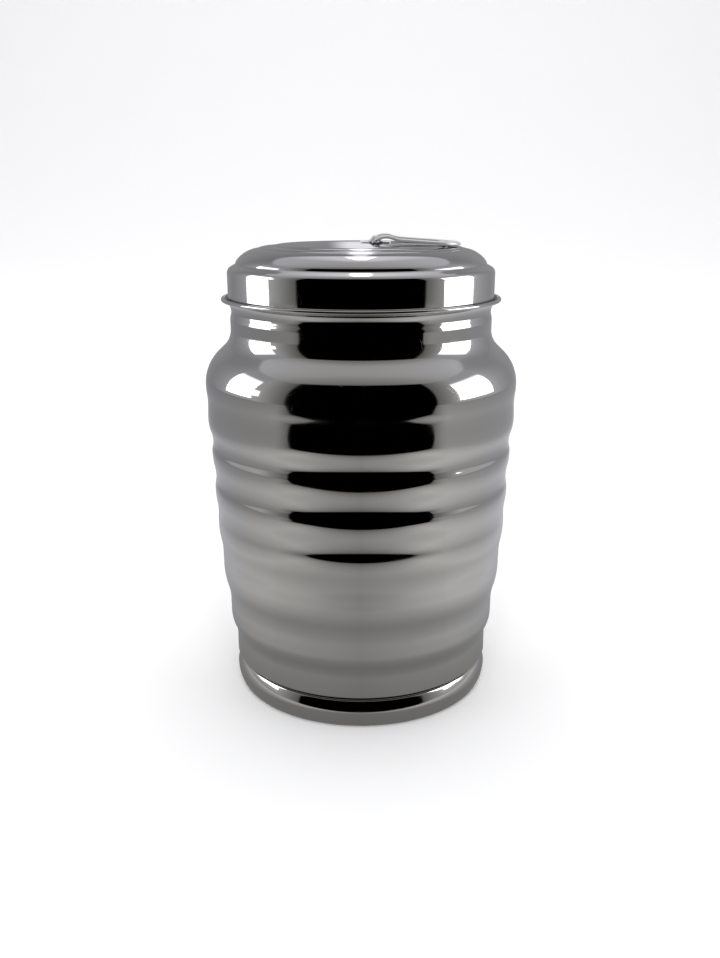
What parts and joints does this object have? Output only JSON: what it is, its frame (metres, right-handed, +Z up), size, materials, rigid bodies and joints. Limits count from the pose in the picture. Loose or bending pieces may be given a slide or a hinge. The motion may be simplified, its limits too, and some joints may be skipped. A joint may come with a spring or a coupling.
{
  "type": "milk can",
  "caption": "Lidded milk can of polished stainless steel with a ribbed tapering barrel, flared mouth, base cup and a stepped lift-off lid with a folding loop handle.",
  "frame": {"origin": "centre of the standing ring, on the surface the can stands on", "axes": "+Z up along the can's axis; the folded handle points along +X; -Y is the front"},
  "size_m": [0.1554, 0.1554, 0.231],
  "materials": {
    "body_steel": "mirror-polished stainless steel, finely scratched",
    "lid_steel": "mirror-polished stainless steel",
    "handle_steel": "tumbled stainless steel, satin to bright"
  },
  "bodies": {
    "can": {"can_body": "body_steel", "base_cup": "body_steel"},
    "lid": {"lid_cap": "lid_steel", "lid_collar": "lid_steel", "handle_clip": "handle_steel"},
    "handle": {"handle_loop": "handle_steel"}
  },
  "joints": [
    {"name": "lid_lift", "type": "slide", "parent": "can", "child": "lid", "axis": [0, 0, 1], "range_m": [0, 0.06]},
    {"name": "handle_fold", "type": "hinge", "parent": "lid", "child": "handle", "pos_m": [0.007, 0, 0.22859], "axis": [0, -1, 0], "range_deg": [0, 160]}
  ]
}
